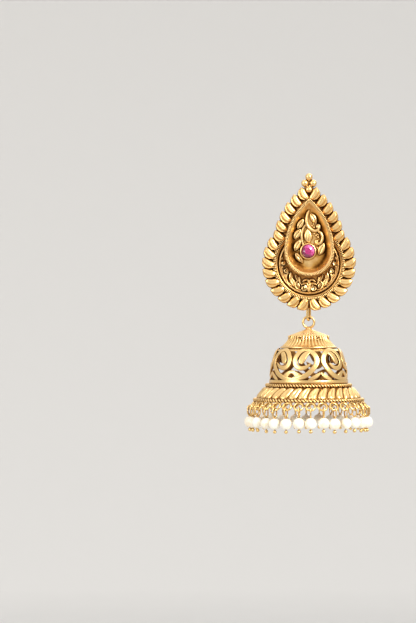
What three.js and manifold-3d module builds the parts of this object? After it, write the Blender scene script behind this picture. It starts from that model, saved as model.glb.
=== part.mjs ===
// A jhumka earring: a teardrop stud on an ear post, and a pierced bell that hangs from it on a link
// and ends in a fringe of pearls.
// Millimetres, +Z up. The face looks along -Y, and the ear post leaves the flat back along +Y.
// The origin is where the post leaves the back of the stud, at the front of the ear lobe.

import * as THREE from "three";
import { mergeVertices } from "three/addons/utils/BufferGeometryUtils.js";
import Module from "manifold-3d";

const wasm = await Module();
wasm.setup();

// Gaps between pieces that touch on the real earring
const seatGap = 0.1;
const linkPlay = 0.26;

// Stud plate
const plateThickness = 0.9;
const rosetteDrop = 3.1; // centre of the round part, below the centre of the cup's round end
const petalRingRadius = 10.2;
const petalLength = 3.4;
const petalWidth = 2.4;
const petalHeight = 1.05;
const petalPitch = 2.46;
const petalSweep = 32; // degrees that a petal leans up from the rim's outward direction
const crownPetalOffset = 1.75; // from the cup's rim to the middle of a petal beside it
const crownPetalPitch = 2.42;
const crownPetalCount = 6; // a side
const plateMargin = 0.7; // the plate beyond the middle of the petals
const milgrainRadius = 8.1;
const milgrainWire = 0.38;
const ringWireRadius = 7.2;
const ringWire = 0.26;
const reliefWire = 0.22;
const finialBeadRadius = 0.9;

// Teardrop cup
const cupRadius = 6.1;
const cupPeak = 13; // apex above the centre of the round end
const cupBelowPost = 3.8;
const cupHeight = 2.4;
const cupWall = 0.5;
const cupFlare = 1.5; // how far the foot stands in from the rim
const cupSlope = 2.05; // how far the floor stands in from the rim
const cupFloorThickness = 0.6;
const vineWire = 0.3;
const vineHeight = 0.55;

// Stone and its collet
const stoneRadius = 1.55;
const stoneCrown = 0.55;
const stonePavilion = 0.65;
const colletWall = 0.42;
const colletHeight = 1.3;
const colletAcross = -0.27;

// Ear post
const postRadius = 0.45;
const postLength = 10.5;
const postPadRadius = 2;
const postPadThickness = 0.5;

// Eye on the back of the stud, and the link
const eyeWire = 0.28;
const eyeReach = 1.6; // from the back of the plate to the middle of the eye's bar
const eyeAbovePlateEdge = 0.4;
const linkWire = 0.27;
const linkHalfWidth = 0.82;
const linkLength = 2.36; // between the centres of its two round ends
const linkTurn = 24; // degrees about the vertical

// Bell
const bellRingRadius = 1.36;
const bellRingWire = 0.3;
const bellWall = 0.65;
const capShoulderRadius = 5;
const capShoulderDrop = 1.8;
const capRadius = 7;
const capHeight = 4.9;
const bandHeight = 7.8;
const bandRadius = 9.6;
const bandStripWidth = 1;
const bandRailHeight = 0.55;
const collarHeight = 0.6;
const bandRepeats = 4;
const bandTurn = -28.5; // degrees from the front to the middle of a drop motif
const ropeRadius = 0.43;
const skirtTopRadius = 10.25;
const skirtRadius = 13.25;
const skirtHeight = 4; // from its top to the middle of the lower rope
const skirtLeafCount = 32;
const skirtLeafHeight = 0.4;
const skirtLeafSlant = 0.5; // share of a leaf's step that its ends lean from its middle

// Fringe
const fringeRingRadius = 1.1;
const fringeWire = 0.23;
const fringeLean = 36; // degrees from the vertical
const pinEyeRadius = 0.6;
const pinEyeHeight = 1.2; // from its middle to the middle of the wire at its top
const pinWire = 0.17;
const pearlRadius = 1.46;
const pearlGap = 0.1;
const pinBallRadius = 0.48;

// Facets round each kind of round piece
const bellSides = 30;
const rosetteSides = 28;
const cupSides = 28;
const linkSides = 10;
const wireSides = 5;
const pearlSides = 10;
const stoneSides = 16;
const meshTolerance = 0.06;

const degrees = Math.PI / 180;

// Heights and depths that follow from the sizes above
const cupCentreZ = -cupBelowPost;
const rosetteCentreZ = cupCentreZ - rosetteDrop;
const plateFront = -plateThickness;
const cupBack = plateFront - seatGap;
const cupFront = cupBack - cupHeight;
const cupFloor = cupBack - cupFloorThickness;
const plateRadius = petalRingRadius + plateMargin;
const plateBottomZ = rosetteCentreZ - plateRadius;
const eyeZ = plateBottomZ + eyeAbovePlateEdge;
const linkY = eyeReach;
const linkTopZ = eyeZ + eyeWire + linkWire + linkPlay;
const linkBottomZ = linkTopZ - linkLength - 2 * linkHalfWidth;
const bellRingTopZ = linkBottomZ + linkWire + bellRingWire + linkPlay;
const bellRingZ = bellRingTopZ - bellRingRadius;
const capTopZ = bellRingZ - bellRingRadius - bellRingWire / 2;
const capShoulderZ = capTopZ - capShoulderDrop;
const capBottomZ = capTopZ - capHeight;
const bandTopZ = capBottomZ - seatGap;
const bandBottomZ = bandTopZ - bandHeight;
const skirtTopZ = bandBottomZ - collarHeight - seatGap;
const skirtBottomZ = skirtTopZ - skirtHeight;
const fringeRingTopRadius = skirtRadius + ropeRadius * 0.15;
const fringeRingTopZ = skirtBottomZ - ropeRadius * 1.1;
const fringeDown = fringeRingRadius * Math.cos(fringeLean * degrees);
const fringeOut = fringeRingRadius * Math.sin(fringeLean * degrees);
const fringeRingMidRadius = fringeRingTopRadius + fringeOut;
const fringeRingMidZ = fringeRingTopZ - fringeDown;
const dropRadius = fringeRingMidRadius + fringeOut;
const pinEyeZ = fringeRingMidZ - fringeDown + fringeWire + pinWire + linkPlay - pinEyeHeight;
const pearlZ = pinEyeZ - pinEyeHeight - pinWire * 0.45 - pearlRadius;
const dropCount = Math.floor((2 * Math.PI * dropRadius) / (2 * pearlRadius + pearlGap));

// Materials
const gold = new THREE.MeshStandardMaterial({ color: 0xd9a441, roughness: 0.38, metalness: 1 });
const paleGold = new THREE.MeshStandardMaterial({ color: 0xe3b558, roughness: 0.3, metalness: 1 });
const pearl = new THREE.MeshStandardMaterial({ color: 0xf4efe2, roughness: 0.25, metalness: 0 });
const ruby = new THREE.MeshStandardMaterial({ color: 0xc4257f, roughness: 0.08, metalness: 0 });

// Turns a closed geometry into a solid that can be cut and joined, whichever way its faces wind.
function solid(geometry) {
  const bare = (geometry.index ? geometry.toNonIndexed() : geometry.clone());
  for (const name of Object.keys(bare.attributes)) {
    if (name !== "position") bare.deleteAttribute(name);
  }
  const merged = mergeVertices(bare, 1e-4);
  const position = merged.attributes.position;
  const corners = merged.index.array;
  const faces = [];
  let volume = 0;
  const a = new THREE.Vector3();
  const b = new THREE.Vector3();
  const c = new THREE.Vector3();
  for (let i = 0; i < corners.length; i += 3) {
    const [p, q, r] = [corners[i], corners[i + 1], corners[i + 2]];
    if (p === q || q === r || r === p) continue;
    faces.push([p, q, r]);
    a.fromBufferAttribute(position, p);
    b.fromBufferAttribute(position, q);
    c.fromBufferAttribute(position, r);
    volume += a.dot(b.cross(c));
  }
  const wound = volume < 0 ? faces.map(([p, q, r]) => [p, r, q]) : faces;
  const mesh = new wasm.Mesh({
    numProp: 3,
    vertProperties: new Float32Array(position.array),
    triVerts: new Uint32Array(wound.flat()),
  });
  mesh.merge();
  return new wasm.Manifold(mesh);
}

function join(solids) {
  return solids.reduce((whole, next) => whole.add(next));
}

function geometryOf(made) {
  const mesh = made.asOriginal().simplify(meshTolerance).getMesh();
  const geometry = new THREE.BufferGeometry();
  geometry.setAttribute("position", new THREE.BufferAttribute(mesh.vertProperties, 3));
  geometry.setIndex(new THREE.BufferAttribute(mesh.triVerts, 1));
  geometry.computeVertexNormals();
  return geometry;
}

function piece(name, made, material) {
  const mesh = new THREE.Mesh(geometryOf(made), material);
  mesh.name = name;
  return mesh;
}

// A closed body through rings of points, each with as many points as the next.
function loft(rings, loops = false) {
  const count = rings[0].length;
  const points = rings.flat();
  const faces = [];
  const spans = loops ? rings.length : rings.length - 1;
  for (let i = 0; i < spans; i++) {
    const here = i * count;
    const next = ((i + 1) % rings.length) * count;
    for (let j = 0; j < count; j++) {
      const k = (j + 1) % count;
      faces.push(here + j, next + j, next + k, here + j, next + k, here + k);
    }
  }
  if (!loops) {
    const last = (rings.length - 1) * count;
    for (let j = 1; j < count - 1; j++) {
      faces.push(0, j, j + 1, last, last + j + 1, last + j);
    }
  }
  const geometry = new THREE.BufferGeometry().setFromPoints(points);
  geometry.setIndex(faces);
  return geometry;
}

// A point on the face of the stud: across, up and depth.
function onStud(across, up, depth) {
  return new THREE.Vector3(across, depth, up);
}

// A point of the bell: distance from its axis, angle from the front in degrees, and height.
function onBell(radius, angle, z) {
  const a = angle * degrees;
  return new THREE.Vector3(radius * Math.sin(a), linkY - radius * Math.cos(a), z);
}

// A solid of revolution about the bell's axis through a closed profile of [radius, z].
function turned(profile, sides, turn = 0) {
  const points = [...profile, profile[0]].map(([r, z]) => new THREE.Vector2(r, z));
  const geometry = new THREE.LatheGeometry(points, sides);
  geometry.rotateX(Math.PI / 2);
  geometry.rotateZ(turn * degrees);
  return geometry;
}

// The teardrop outline of the cup, grown by an offset: a round end and two arcs that meet at the apex.
const sideArcRadius = (cupPeak ** 2 + cupRadius ** 2) / (2 * cupRadius);
const sideArcCentre = sideArcRadius - cupRadius;

function apexAngle(offset) {
  return Math.acos(sideArcCentre / (sideArcRadius + offset));
}

function teardrop(offset, depth, sides = cupSides) {
  const half = sides / 2;
  const roundSteps = Math.round(half * 0.45);
  const arcSteps = half - roundSteps;
  const right = [];
  for (let i = 0; i < roundSteps; i++) {
    const a = (-90 + (90 * i) / roundSteps) * degrees;
    const r = cupRadius + offset;
    right.push([r * Math.cos(a), r * Math.sin(a)]);
  }
  for (let i = 0; i < arcSteps; i++) {
    const a = (apexAngle(offset) * i) / arcSteps;
    const r = sideArcRadius + offset;
    right.push([r * Math.cos(a) - sideArcCentre, r * Math.sin(a)]);
  }
  const apex = [0, (sideArcRadius + offset) * Math.sin(apexAngle(offset))];
  const left = right.slice(1).reverse().map(([x, z]) => [-x, z]);
  return [...right, apex, ...left].map(([x, z]) => onStud(x, cupCentreZ + z, depth));
}

// A raised boss on the stud: an outline from a table of stations along its length, drawn in to a
// smaller, higher ring and a flat top.
const petalStations = [
  { along: 0, half: 0.5 },
  { along: 0.45, half: 1 },
  { along: 1, half: 0 },
];
const leafStations = [
  { along: 0, half: 0 },
  { along: 0.45, half: 1 },
  { along: 1, half: 0 },
];

function boss(stations, { across, up, length, width, angle, bend = 0, base, height }) {
  const sink = height * 0.35;
  const direction = new THREE.Vector2(Math.cos(angle * degrees), Math.sin(angle * degrees));
  const side = new THREE.Vector2(-direction.y, direction.x);
  const order = [
    ...stations.map((s) => [s.along, s.half]),
    ...stations.filter((s) => s.half > 0).reverse().map((s) => [s.along, -s.half]),
  ];
  const ring = (scale, depth) => order.map(([along, half]) => {
    const run = (along - 0.5) * scale * length;
    const bow = bend * (4 * ((along - 0.5) * scale) ** 2);
    const off = (half * scale * width) / 2 + bow;
    return onStud(
      across + direction.x * run + side.x * off,
      up + direction.y * run + side.y * off,
      depth,
    );
  });
  return solid(loft([ring(1, base + sink), ring(0.5, base - height)]));
}

// A wire laid on the stud through points of [across, up], half sunk into the face at a depth.
function laidWire(points, radius, depth, steps) {
  const curve = new THREE.CatmullRomCurve3(points.map(([x, z]) => onStud(x, z, depth)));
  const section = new THREE.Shape();
  for (let i = 0; i < wireSides; i++) {
    const a = (2 * Math.PI * i) / wireSides;
    const corner = [radius * Math.cos(a), radius * Math.sin(a)];
    if (i) section.lineTo(...corner);
    else section.moveTo(...corner);
  }
  return solid(new THREE.ExtrudeGeometry(section, { steps, extrudePath: curve, bevelEnabled: false }));
}

// A flat spiral on the stud, wound in from its outer end round a centre.
function spiral({ across, up, radius, start, turns }, depth, steps) {
  const points = [];
  for (let i = 0; i <= steps; i++) {
    const share = i / steps;
    const a = (start + 360 * turns * share) * degrees;
    const r = radius * (1 - 0.62 * share);
    points.push([across + r * Math.cos(a), up + r * Math.sin(a)]);
  }
  return laidWire(points, reliefWire, depth, steps);
}

// A wire ring that stands in the XZ plane round the origin, with corners at its top and its foot.
function wireRing(radius, wire) {
  const geometry = new THREE.TorusGeometry(radius, wire, wireSides, linkSides);
  geometry.rotateX(Math.PI / 2);
  geometry.rotateY(Math.PI / linkSides);
  return geometry;
}

function bead(radius, centre) {
  const geometry = new THREE.SphereGeometry(radius, 7, 4);
  geometry.rotateX(-Math.PI / 2);
  geometry.translate(centre.x, centre.y, centre.z);
  return solid(geometry);
}

// Where the petals sit: round the rosette from its foot up to the cup, then beside the cup's rim.
function petalPlaces() {
  const step = petalPitch / petalRingRadius / degrees;
  const places = [];
  const sideArc = sideArcRadius + crownPetalOffset;
  const firstCrown = 11 * degrees;
  const lowestCrown = cupCentreZ + sideArc * Math.sin(firstCrown);
  for (let i = 0; ; i++) {
    const fromFoot = step * (i + 0.53);
    const up = rosetteCentreZ - petalRingRadius * Math.cos(fromFoot * degrees);
    if (up > lowestCrown - petalPitch * 0.55 || fromFoot > 150) break;
    places.push({
      across: petalRingRadius * Math.sin(fromFoot * degrees),
      up,
      outward: fromFoot - 90,
      sweep: petalSweep,
    });
  }
  for (let i = 0; i < crownPetalCount; i++) {
    const a = firstCrown + (crownPetalPitch * i) / sideArc;
    places.push({
      across: sideArc * Math.cos(a) - sideArcCentre,
      up: cupCentreZ + sideArc * Math.sin(a),
      outward: a / degrees,
      sweep: petalSweep * (0.95 - 0.1 * i),
    });
  }
  return places;
}

function petals() {
  return petalPlaces().flatMap(({ across, up, outward, sweep }) => [1, -1].map((hand) => {
    const angle = outward + sweep;
    return boss(petalStations, {
      across: hand * across,
      up,
      length: petalLength,
      width: petalWidth,
      angle: hand > 0 ? angle : 180 - angle,
      bend: hand * petalWidth * 0.16,
      base: plateFront,
      height: petalHeight,
    });
  }));
}

// Scrollwork of the crescent: spirals and leaves, placed by the angle from its foot and as a share
// of the radius of the ring wire round it.
const crescentSpirals = [
  { fromFoot: 13, out: 0.76, size: 0.13, start: 100, turns: 0.9 },
];
const crescentLeaves = [
  { fromFoot: 47, out: 0.82, length: 0.42, width: 0.2, tilt: 12 },
  { fromFoot: 76, out: 0.84, length: 0.3, width: 0.14, tilt: 20 },
];

function crescent() {
  const made = [];
  for (const hand of [1, -1]) {
    for (const { fromFoot, out, size, start, turns } of crescentSpirals) {
      const a = fromFoot * degrees;
      const turnStart = start + fromFoot;
      made.push(spiral({
        across: hand * out * ringWireRadius * Math.sin(a),
        up: rosetteCentreZ - out * ringWireRadius * Math.cos(a),
        radius: size * ringWireRadius,
        start: hand > 0 ? turnStart : 180 - turnStart,
        turns: hand * turns,
      }, plateFront, 4));
    }
    for (const { fromFoot, out, length, width, tilt } of crescentLeaves) {
      const a = fromFoot * degrees;
      made.push(boss(leafStations, {
        across: hand * out * ringWireRadius * Math.sin(a),
        up: rosetteCentreZ - out * ringWireRadius * Math.cos(a),
        length: length * ringWireRadius,
        width: width * ringWireRadius,
        angle: hand > 0 ? fromFoot + tilt : 180 - fromFoot - tilt,
        base: plateFront,
        height: reliefWire * 1.6,
      }));
    }
  }
  made.push(boss(leafStations, {
    across: 0,
    up: rosetteCentreZ - ringWireRadius * 0.74,
    length: ringWireRadius * 0.34,
    width: ringWireRadius * 0.14,
    angle: 90,
    base: plateFront,
    height: reliefWire * 1.8,
  }));
  return made;
}

// A flat tab of the plate through an outline of [across, up].
function tab(outline) {
  const shape = new THREE.Shape(outline.map(([x, z]) => new THREE.Vector2(x, z)));
  const geometry = new THREE.ExtrudeGeometry(shape, { depth: plateThickness, bevelEnabled: false });
  geometry.rotateX(Math.PI / 2);
  return solid(geometry);
}

function studEye() {
  const arc = new THREE.TorusGeometry(eyeReach, eyeWire, wireSides, linkSides + 2);
  arc.translate(0, 0, eyeZ);
  const behindPlate = new THREE.BoxGeometry(4 * eyeReach, 2 * eyeReach, 4 * eyeWire);
  behindPlate.translate(0, eyeReach - plateThickness * 0.5, eyeZ);
  return solid(arc).intersect(solid(behindPlate));
}

function studPlate() {
  const ridge = (radius, wire) => [
    [radius - wire, plateFront],
    [radius, plateFront - wire],
    [radius + wire, plateFront],
  ];
  const profile = [
    [0, plateFront],
    ...ridge(ringWireRadius, ringWire * 1.3),
    ...ridge(milgrainRadius, milgrainWire),
    [plateRadius, plateFront],
    [plateRadius, 0],
    [0, 0],
  ];
  const round = new THREE.LatheGeometry(profile.map(([r, y]) => new THREE.Vector2(r, y)), rosetteSides);
  round.translate(0, 0, rosetteCentreZ);
  const crown = teardrop(crownPetalOffset + plateMargin, 0).map((p) => [p.x, p.z]);
  const apexZ = Math.max(...crown.map(([, z]) => z));
  const beadStep = finialBeadRadius * 1.72;
  const lowBeadZ = apexZ - finialBeadRadius * 1.02;
  const beads = [
    [0, lowBeadZ],
    [-finialBeadRadius * 1.12, lowBeadZ + beadStep],
    [finialBeadRadius * 1.12, lowBeadZ + beadStep],
    [0, lowBeadZ + 2 * beadStep],
  ];
  const finial = tab([
    [0, lowBeadZ - finialBeadRadius * 2],
    [finialBeadRadius * 1.5, lowBeadZ + beadStep],
    [0, lowBeadZ + 2.35 * beadStep],
    [-finialBeadRadius * 1.5, lowBeadZ + beadStep],
  ]);
  return join([
    solid(round),
    tab(crown),
    finial,
    ...beads.map(([x, z]) => bead(finialBeadRadius, onStud(x, z, plateFront * 0.9))),
    ...petals(),
    ...crescent(),
    studEye(),
  ]).subtract(cupSeat());
}

// The room that the cup takes in front of the plate, so that petals and wires stop short of it.
function cupSeat() {
  const room = seatGap;
  return solid(loft([
    teardrop(room - cupFlare, plateFront),
    teardrop(room, cupFront + cupWall),
    teardrop(room, cupFront - 1),
  ]));
}

// Vine in the cup: leaves and scrolls, as shares of the half-width and the height of its floor.
const vineLeaves = [
  { across: -0.5, up: 0.66, length: 0.6, width: 0.27, angle: 57 },
  { across: -0.7, up: 0.42, length: 0.62, width: 0.3, angle: 55 },
  { across: -0.72, up: 0.16, length: 0.62, width: 0.3, angle: 62 },
  { across: -0.62, up: -0.16, length: 0.62, width: 0.24, angle: -52 },
  { across: 0.26, up: 0.79, length: 0.58, width: 0.28, angle: -58 },
  { across: 0.77, up: 0.06, length: 0.68, width: 0.32, angle: 70 },
  { across: -0.06, up: 0.38, length: 0.72, width: 0.42, angle: 95 },
];
const vineHook = [[0.06, 0.95], [-0.14, 0.8], [-0.12, 0.62], [0.28, 0.49], [0.6, 0.53], [0.6, 0.64]];
const vineCurl = [[0.58, 0.49], [0.82, 0.36], [0.74, 0.22], [0.46, 0.2], [0.4, 0.27]];
const vineStem = [[-0.18, 0.64], [-0.4, 0.5], [-0.46, 0.34], [-0.4, 0.19]];

function teardropCup() {
  const half = cupRadius - cupSlope;
  const peak = (sideArcRadius - cupSlope) * Math.sin(apexAngle(-cupSlope));
  const place = ([x, z]) => [x * half, cupCentreZ + z * peak];
  const shell = solid(loft([
    teardrop(-cupFlare, cupBack),
    teardrop(0, cupFront + cupWall),
    teardrop(-cupWall * 0.35, cupFront),
    teardrop(-cupWall, cupFront + cupWall * 0.4),
    teardrop(-cupSlope, cupFloor),
  ]));
  const wireDepth = cupFloor - vineWire * 0.5;
  const collet = new THREE.CylinderGeometry(
    stoneRadius + seatGap + colletWall * 0.8,
    stoneRadius + seatGap + colletWall,
    colletHeight + cupFloorThickness / 2,
    stoneSides,
  );
  collet.rotateX(Math.PI);
  collet.translate(colletAcross, cupFloor + cupFloorThickness / 2 - (colletHeight + cupFloorThickness / 2) / 2, cupCentreZ);
  return join([
    shell,
    ...vineLeaves.map((leaf) => {
      const [across, up] = place([leaf.across, leaf.up]);
      return boss(leafStations, {
        across,
        up,
        length: leaf.length * half,
        width: leaf.width * half,
        angle: leaf.angle,
        base: cupFloor,
        height: vineHeight,
      });
    }),
    laidWire(vineHook.map(place), vineWire, wireDepth, 7),
    laidWire(vineCurl.map(place), vineWire, wireDepth, 5),
    laidWire(vineStem.map(place), vineWire * 0.8, wireDepth, 2),
    solid(collet),
  ]).subtract(stoneRoom());
}

// The stone's girdle plane, and the room that its collet leaves for it.
const girdleDepth = cupFloor - colletHeight + stoneCrown * 0.35;

function stoneRoom() {
  const profile = [
    [0, stonePavilion + seatGap],
    [stoneRadius * 0.35, stonePavilion + seatGap],
    [stoneRadius + seatGap, 0],
    [stoneRadius + seatGap, -3 * colletHeight],
    [0, -3 * colletHeight],
  ];
  const geometry = new THREE.LatheGeometry(profile.map(([r, y]) => new THREE.Vector2(r, y)), stoneSides);
  geometry.translate(colletAcross, girdleDepth, cupCentreZ);
  return solid(geometry);
}

// A round brilliant of 8 main facets: an octagonal table, a girdle of 16 sides and a small culet.
function stone() {
  const ring = (radius, depth, sides, turn) => Array.from({ length: sides }, (_, i) => {
    const a = ((i + turn) * 2 * Math.PI) / sides;
    return new THREE.Vector3(
      colletAcross + radius * Math.cos(a),
      girdleDepth + depth,
      cupCentreZ + radius * Math.sin(a),
    );
  });
  const table = ring(stoneRadius * 0.56, -stoneCrown, 8, 0.5);
  const upper = ring(stoneRadius, 0, 16, 0);
  const culet = new THREE.Vector3(colletAcross, girdleDepth + stonePavilion, cupCentreZ);
  const points = [...table, ...upper, culet];
  const faces = [];
  for (let i = 1; i < 7; i++) faces.push(0, i, i + 1);
  for (let i = 0; i < 8; i++) {
    const here = 8 + ((2 * i + 1) % 16);
    const before = 8 + ((2 * i) % 16);
    const after = 8 + ((2 * i + 2) % 16);
    faces.push(i, before, here, i, here, after, i, after, (i + 1) % 8);
  }
  for (let i = 0; i < 16; i++) faces.push(8 + ((i + 1) % 16), 8 + i, 24);
  const geometry = new THREE.BufferGeometry().setFromPoints(points);
  geometry.setIndex(faces);
  return solid(geometry);
}

function earPost() {
  const tip = postLength;
  const profile = [
    [0, seatGap],
    [postPadRadius, seatGap],
    [postPadRadius, postPadThickness],
    [postRadius, postPadThickness + postRadius],
    [postRadius, tip - 2 * postRadius],
    [0, tip],
  ];
  return solid(new THREE.LatheGeometry(profile.map(([r, y]) => new THREE.Vector2(r, y)), linkSides));
}

// An oval of wire that stands in the YZ plane round the origin: two half rings with straight sides
// between them.
function ovalWire(halfWidth, straight, wire) {
  const half = linkSides / 2 - 1;
  const middle = [];
  for (const sign of [1, -1]) {
    for (let i = 0; i <= half; i++) {
      const a = ((180 * i) / half) * degrees;
      const up = sign * (straight / 2 + halfWidth * Math.sin(a));
      middle.push(new THREE.Vector3(0, sign * halfWidth * Math.cos(a), up));
    }
  }
  const flat = new THREE.Vector3(1, 0, 0);
  const rings = middle.map((centre, i) => {
    const before = middle[(i + middle.length - 1) % middle.length];
    const after = middle[(i + 1) % middle.length];
    const side = after.clone().sub(before).normalize().cross(flat);
    return Array.from({ length: wireSides }, (_, j) => {
      const a = (2 * Math.PI * j) / wireSides;
      return centre.clone()
        .addScaledVector(side, wire * Math.cos(a))
        .addScaledVector(flat, wire * Math.sin(a));
    });
  });
  return solid(loft(rings, true));
}

// The link that carries the bell, a little turned, with its middle on the bell's axis
function link() {
  return ovalWire(linkHalfWidth, linkLength, linkWire)
    .rotate([0, 0, -linkTurn])
    .translate([0, linkY, (linkTopZ + linkBottomZ) / 2]);
}

// Ribbed cap of the bell, hollow, with its ring soldered on.
function bellCap() {
  const ring = wireRing(bellRingRadius, bellRingWire);
  ring.translate(0, linkY, bellRingZ);
  const tipRadius = bellRingWire * 2.6;
  const drop = capTopZ - capShoulderZ;
  const wall = bellWall;
  const shell = turned([
    [0, capTopZ],
    [tipRadius, capTopZ - drop * 0.2],
    [capShoulderRadius, capShoulderZ],
    [capShoulderRadius - wall * 0.25, capShoulderZ - wall * 0.6],
    [(capShoulderRadius + capRadius) / 2, capShoulderZ * 0.42 + capBottomZ * 0.58],
    [capRadius, capBottomZ],
    [capRadius - 2 * wall, capBottomZ],
    [capShoulderRadius - 2 * wall, capShoulderZ - wall],
    [0, capTopZ - drop * 0.5 - wall],
  ], bellSides);
  shell.translate(0, linkY, 0);
  return solid(shell).add(solid(ring));
}

// The outside radius of the pierced band at a share of its height: a quarter of an oval.
function bandOuter(share) {
  const lift = Math.min(Math.max(share, 0), 1);
  return capRadius + (bandRadius - capRadius) * Math.sqrt(1 - lift ** 2.2);
}

// A strip that follows the band through rows: turn as a share of half a repeat, rise as a share of
// the band's height, and width as a share of the strip's own.
function bandStrip(rows, startAngle, hand) {
  const halfRepeat = 180 / bandRepeats;
  const thick = bellWall;
  const place = ({ turn, rise }) => {
    const radius = bandOuter(rise) - thick / 2;
    return onBell(radius, startAngle + hand * turn * halfRepeat, bandBottomZ + rise * bandHeight);
  };
  const rings = rows.map((row, i) => {
    const here = place(row);
    const before = place(rows[Math.max(i - 1, 0)]);
    const after = place(rows[Math.min(i + 1, rows.length - 1)]);
    const along = after.clone().sub(before).normalize();
    const slope = bandOuter(row.rise + 0.03) - bandOuter(row.rise - 0.03);
    const out = here.clone().sub(new THREE.Vector3(0, linkY, here.z)).normalize();
    out.z = -slope / (0.06 * bandHeight);
    out.normalize();
    const side = along.clone().cross(out).normalize();
    const half = (bandStripWidth * row.width) / 2;
    return [[1, 1], [0, -1], [-1, 1]].map(([s, o]) => here.clone()
      .addScaledVector(side, s * half)
      .addScaledVector(out, (o * thick) / 2));
  });
  return solid(loft(rings));
}

// Half of one repeat, from the middle of its drop motif at turn 0 to the seam between scrolls at 1
const scrollRows = [
  { turn: -0.02, rise: 0.03, width: 0.9 },
  { turn: 0.38, rise: 0.13, width: 1 },
  { turn: 0.7, rise: 0.34, width: 1.05 },
  { turn: 0.88, rise: 0.64, width: 1.1 },
  { turn: 0.76, rise: 0.87, width: 1.05 },
  { turn: 0.43, rise: 0.95, width: 1 },
  { turn: 0.16, rise: 0.8, width: 1 },
  { turn: 0.13, rise: 0.56, width: 1 },
  { turn: 0.34, rise: 0.4, width: 0.9 },
  { turn: 0.64, rise: 0.53, width: 0.35 },
];
const commaRows = [
  { turn: 0.62, rise: 0.9, width: 0.9 },
  { turn: 0.45, rise: 0.73, width: 1.2 },
  { turn: 0.33, rise: 0.58, width: 0.5 },
];
const archRows = [
  { turn: -0.04, rise: 0.4, width: 0.8 },
  { turn: 0.3, rise: 0.08, width: 1 },
];
const leafRows = [
  { turn: 0.62, rise: 0.03, width: 0.5 },
  { turn: 0.8, rise: 0.13, width: 0.8 },
  { turn: 0.95, rise: 0.25, width: 0.45 },
];

function bellBand() {
  const made = [];
  const rail = (low, high, out) => {
    const outer = (z) => bandOuter((z - bandBottomZ) / bandHeight) + out;
    const geometry = turned([
      [outer(high), high],
      [outer(low), low],
      [(outer(low) + outer(high)) / 2 - bellWall - out, (low + high) / 2],
    ], bellSides);
    geometry.translate(0, linkY, 0);
    return solid(geometry);
  };
  made.push(rail(bandTopZ - bandRailHeight, bandTopZ, 0));
  made.push(rail(bandBottomZ - collarHeight, bandBottomZ + bandRailHeight * 0.5, 0.08));
  for (let i = 0; i < bandRepeats; i++) {
    const middle = bandTurn + (360 * i) / bandRepeats;
    for (const hand of [1, -1]) {
      for (const rows of [scrollRows, commaRows, archRows, leafRows]) {
        made.push(bandStrip(rows, middle, hand));
      }
    }
  }
  return join(made);
}

// Flared skirt: two rope wires with a row of slanting leaf ridges between them, hollow inside, and
// the fringe rings soldered under the lower rope.
function bellSkirt() {
  const topZ = skirtTopZ - ropeRadius;
  const onRope = (radius, z, turn) => ({
    radius: radius + ropeRadius * Math.cos(turn * degrees),
    z: z + ropeRadius * Math.sin(turn * degrees),
  });
  const middle = { radius: (skirtTopRadius + skirtRadius) / 2, z: (topZ + skirtBottomZ) / 2 };
  const rows = [
    { radius: bandRadius - bellWall, z: skirtTopZ },
    onRope(skirtTopRadius, topZ, 45),
    { ...middle, ridge: skirtLeafHeight },
    onRope(skirtRadius, skirtBottomZ, 5),
    onRope(skirtRadius, skirtBottomZ, -75),
    { radius: bandRadius - bellWall, z: skirtTopZ - 2 * ropeRadius },
  ];
  const step = 360 / skirtLeafCount;
  const shell = loft(rows.map(({ radius, z, ridge = 0 }) => {
    const lean = (step * skirtLeafSlant * (z - middle.z)) / (topZ - middle.z);
    return Array.from({ length: 2 * skirtLeafCount }, (_, i) => {
      const lift = i % 2 ? 0 : ridge;
      return onBell(radius + lift, (step * i) / 2 + lean, z + lift);
    });
  }), true);
  const rings = Array.from({ length: dropCount }, (_, i) => {
    const geometry = wireRing(fringeRingRadius, fringeWire);
    geometry.rotateX(-fringeLean * degrees);
    geometry.translate(0, -fringeRingMidRadius, fringeRingMidZ);
    geometry.rotateZ((360 * i * degrees) / dropCount);
    geometry.translate(0, linkY, 0);
    return solid(geometry);
  });
  return join([solid(shell), ...rings]);
}

// A pearl on its head pin: the eye through the fringe ring, the pearl, and the ball end below it.
function pearlDrop() {
  const latitude = (degreesUp) => [
    pearlRadius * Math.cos(degreesUp * degrees),
    pearlZ + pearlRadius * Math.sin(degreesUp * degrees),
  ];
  const ballZ = pearlZ - pearlRadius - pinBallRadius;
  const profile = [
    [0, ballZ - pinBallRadius],
    [pinBallRadius, ballZ],
    [pinBallRadius * 0.5, ballZ + pinBallRadius * 0.9],
    latitude(-45),
    latitude(0),
    latitude(45),
    [0, pearlZ + pearlRadius],
  ];
  const body = new THREE.LatheGeometry(profile.map(([r, z]) => new THREE.Vector2(r, z)), pearlSides);
  body.rotateX(Math.PI / 2);
  const eye = ovalWire(pinEyeRadius, 2 * (pinEyeHeight - pinEyeRadius), pinWire);
  return solid(body).add(eye.translate([0, 0, pinEyeZ])).translate([0, -dropRadius, 0]);
}

const stud = new THREE.Group();
stud.add(
  piece("stud_plate", studPlate(), gold),
  piece("teardrop_cup", teardropCup(), gold),
  piece("ruby_stone", stone(), ruby),
  piece("ear_post", earPost(), paleGold),
);

const bell = new THREE.Group();
bell.add(
  piece("bell_cap", bellCap(), gold),
  piece("bell_band", bellBand(), gold),
  piece("bell_skirt", bellSkirt(), gold),
);
const drop = pearlDrop();
for (let i = 0; i < dropCount; i++) {
  const name = `pearl_drop_${String(i + 1).padStart(2, "0")}`;
  bell.add(piece(name, drop.rotate([0, 0, (360 * i) / dropCount]).translate([0, linkY, 0]), pearl));
}

const earring = new THREE.Group();
earring.add(stud, piece("link", link(), paleGold), bell);

export default earring;
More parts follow.
